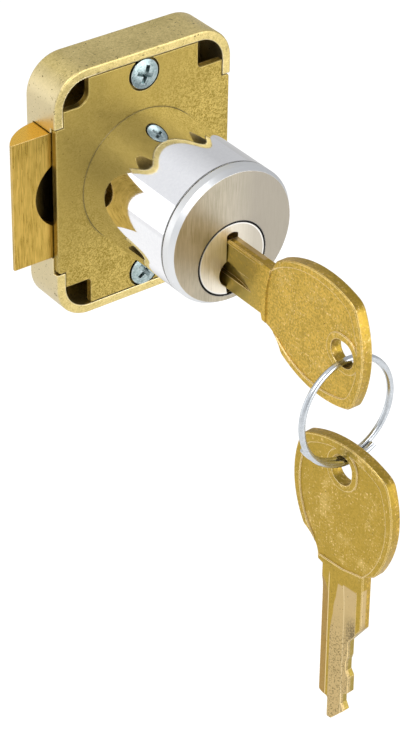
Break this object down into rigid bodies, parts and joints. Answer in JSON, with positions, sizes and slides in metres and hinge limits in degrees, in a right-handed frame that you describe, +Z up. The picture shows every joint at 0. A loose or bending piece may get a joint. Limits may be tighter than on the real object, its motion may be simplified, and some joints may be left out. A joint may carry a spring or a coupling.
{
  "type": "spring bolt lock",
  "caption": "Rim-mounted spring bolt lock for a cabinet door, with a round pin tumbler barrel, a key in it and a spare on its ring.",
  "frame": {"origin": "on the barrel's axis, at the mounting face (the case's rim and the cover plate's front)", "axes": "-Y along the barrel to its nose, +Y into the case, +Z up, and the bolt shoots towards -X"},
  "size_m": [0.0387, 0.0682, 0.0928],
  "materials": {
    "case_casting": "cast, lightly tumbled",
    "plate_brass": "satin, grainy",
    "bolt_brass": "brushed",
    "key_brass": "stamped, satin",
    "pin_brass": "turned",
    "sleeve_chrome": "polished",
    "cap_steel": "satin, brushed",
    "body_brass": "turned",
    "plug_steel": "satin, brushed",
    "zinc_steel": "zinc plated",
    "cam_steel": "plain",
    "spring_steel": "bright wire",
    "ring_steel": "nickel plated"
  },
  "bodies": {
    "lock_body": {"case": "case_casting", "cover_plate": "plate_brass", "plate_screws": "zinc_steel", "barrel_body": "body_brass", "barrel_sleeve": "sleeve_chrome", "front_cap": "cap_steel", "chamber_strip": "body_brass", "barrel_screws": "zinc_steel", "driver_pin_1": "pin_brass", "driver_pin_2": "pin_brass", "driver_pin_3": "pin_brass", "driver_pin_4": "pin_brass", "pin_spring_1": "spring_steel", "pin_spring_2": "spring_steel", "pin_spring_3": "spring_steel", "pin_spring_4": "spring_steel"},
    "plug": {"plug": "plug_steel", "drive_cam": "cam_steel", "drive_stud": "cam_steel", "cam_screw": "zinc_steel", "key_pin_1": "pin_brass", "key_pin_2": "pin_brass", "key_pin_3": "pin_brass", "key_pin_4": "pin_brass"},
    "bolt": {"latch_bolt": "bolt_brass", "bolt_spring_upper": "spring_steel", "bolt_spring_lower": "spring_steel"},
    "key_in_lock": {"key_in_lock": "key_brass"},
    "ring": {"key_ring": "ring_steel"},
    "spare_key": {"spare_key": "key_brass"}
  },
  "joints": [
    {"name": "plug_turn", "type": "hinge", "parent": "lock_body", "child": "plug", "pos_m": [0, -0.0111, -0.00367], "axis": [0, 1, 0], "range_deg": [0, 90]},
    {"name": "bolt_slide", "type": "slide", "parent": "lock_body", "child": "bolt", "axis": [1, 0, 0], "range_m": [0, 0.0067], "stiffness_N_per_m": 50, "springref_m": -0.012, "deforming": ["bolt_spring_upper", "bolt_spring_lower"]},
    {"name": "key_draw", "type": "slide", "parent": "plug", "child": "key_in_lock", "axis": [0, -1, 0], "range_m": [0, 0.0207]},
    {"name": "ring_swing", "type": "hinge", "parent": "key_in_lock", "child": "ring", "pos_m": [0, -0.049, -0.0067], "axis": [1, 0, 0], "range_deg": [-30, 30]},
    {"name": "spare_key_swing", "type": "hinge", "parent": "ring", "child": "spare_key", "pos_m": [0, -0.05016, -0.02326], "axis": [1, 0, 0], "range_deg": [-30, 30]}
  ],
  "couplings": [
    {"joint": "bolt_slide", "follows": "plug_turn", "m_per_rad": 0.004265}
  ]
}
